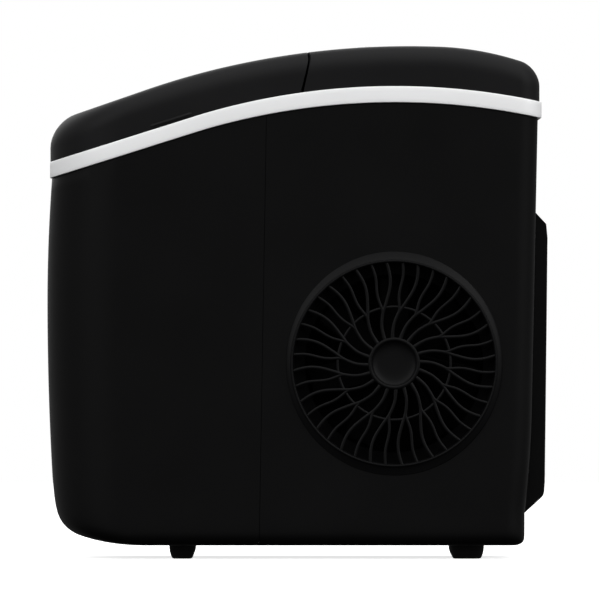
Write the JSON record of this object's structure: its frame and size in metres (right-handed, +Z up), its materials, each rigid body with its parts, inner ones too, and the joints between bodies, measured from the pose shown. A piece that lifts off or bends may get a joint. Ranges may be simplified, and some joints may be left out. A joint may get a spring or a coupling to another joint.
{
  "type": "ice maker",
  "caption": "Countertop bullet-ice maker with a hinged lid, silver trim band and round side fan grille; opens to an ice basket and a tilting water tray.",
  "frame": {"origin": "under the middle of the machine, on the surface that it stands on", "axes": "+Z up, -Y is the front with the ice basket, +Y the rear vent, +X the side with the round fan grille"},
  "size_m": [0.291, 0.367, 0.3753],
  "materials": {
    "housing_black": "satin",
    "lid_black": "satin",
    "trim_silver": "satin",
    "grille_black": "satin",
    "smoke_window": "polished",
    "foot_rubber": "matte",
    "pan_steel": "galvanised",
    "screw_steel": "plated",
    "hinge_plastic": "matte",
    "panel_gloss": "polished",
    "button_silver": "satin",
    "lens_clear": "polished",
    "board_green": "satin",
    "liner_grey": "satin",
    "foam": "matte",
    "basket_clear": "satin",
    "tray_white": "satin",
    "part_dark": "matte",
    "evaporator_nickel": "satin",
    "sensor_dark": "polished",
    "float_white": "satin",
    "hose_silicone": "satin",
    "compressor_black": "satin",
    "mount_rubber": "matte",
    "fin_aluminium": "satin",
    "copper": "satin",
    "valve_brass": "satin"
  },
  "bodies": {
    "machine": {"front_shell": "housing_black", "rear_shell": "housing_black", "trim_band": "trim_silver", "base_pan": "pan_steel", "rear_top_cover": "lid_black", "hinge_brackets": "hinge_plastic", "fan_grille": "grille_black", "rear_vent_cover": "housing_black", "vent_screws": "screw_steel", "housing_screws": "screw_steel", "front_feet": "foot_rubber", "rear_feet": "foot_rubber", "foot_screws": "screw_steel", "control_panel": "panel_gloss", "indicator_lenses": "lens_clear", "panel_board": "board_green", "inner_liner": "liner_grey", "insulation": "foam", "ice_rack": "tray_white", "tray_motor": "part_dark", "tray_bearing": "tray_white", "evaporator": "evaporator_nickel", "evaporator_bracket": "pan_steel", "ice_sensors": "sensor_dark", "float_stem": "tray_white", "drain_port": "part_dark", "water_pump": "part_dark", "pump_inlet_hose": "hose_silicone", "water_hose": "hose_silicone", "bulkhead": "pan_steel", "compressor": "compressor_black", "compressor_mounts": "mount_rubber", "compressor_bolts": "screw_steel", "terminal_cover": "part_dark", "condenser": "fin_aluminium", "fan_shroud": "part_dark", "fan_motor": "part_dark", "filter_drier": "copper", "discharge_pipe": "copper", "suction_pipe": "copper", "liquid_pipe": "copper", "capillary_tube": "copper", "hot_gas_valve": "valve_brass", "hot_gas_pipe": "copper", "control_box": "part_dark", "main_board": "board_green", "cord_gland": "part_dark"},
    "lid": {"lid_shell": "lid_black", "lid_window": "smoke_window", "hinge_pins": "screw_steel"},
    "basket": {"ice_basket": "basket_clear"},
    "tray": {"water_tray": "tray_white"},
    "pusher": {"ice_pusher": "tray_white"},
    "fan": {"fan_impeller": "grille_black"},
    "power_key": {"power_button": "button_silver"},
    "size_key": {"size_button": "button_silver"},
    "float": {"level_float": "float_white"},
    "drain_plug": {"drain_cap": "housing_black"}
  },
  "joints": [
    {"name": "lid_hinge", "type": "hinge", "parent": "machine", "child": "lid", "pos_m": [0, 0.0048, 0.36601], "axis": [-1, 0, 0], "range_deg": [0, 78]},
    {"name": "basket_lift", "type": "slide", "parent": "machine", "child": "basket", "axis": [0, 0, 1], "range_m": [0, 0.05]},
    {"name": "tray_tilt", "type": "hinge", "parent": "machine", "child": "tray", "pos_m": [0, -0.038, 0.262], "axis": [1, 0, 0], "range_deg": [0, 62]},
    {"name": "pusher_swing", "type": "hinge", "parent": "machine", "child": "pusher", "pos_m": [0, -0.02, 0.222], "axis": [-1, 0, 0], "range_deg": [0, 38]},
    {"name": "fan_spin", "type": "hinge", "parent": "machine", "child": "fan", "pos_m": [0.126, 0.071, 0.143], "axis": [1, 0, 0], "continuous": true},
    {"name": "power_press", "type": "slide", "parent": "machine", "child": "power_key", "axis": [0, 0, -1], "range_m": [0, 0.001], "stiffness_N_per_m": 600},
    {"name": "size_press", "type": "slide", "parent": "machine", "child": "size_key", "axis": [0, 0, -1], "range_m": [0, 0.001], "stiffness_N_per_m": 600},
    {"name": "float_rise", "type": "slide", "parent": "machine", "child": "float", "axis": [0, 0, 1], "range_m": [0, 0.022]},
    {"name": "drain_cap_turn", "type": "hinge", "parent": "machine", "child": "drain_plug", "pos_m": [-0.14, -0.12, 0.034], "axis": [-1, 0, 0], "range_deg": [0, 90]}
  ],
  "couplings": [
    {"joint": "pusher_swing", "follows": "tray_tilt", "ratio": 0.6}
  ]
}
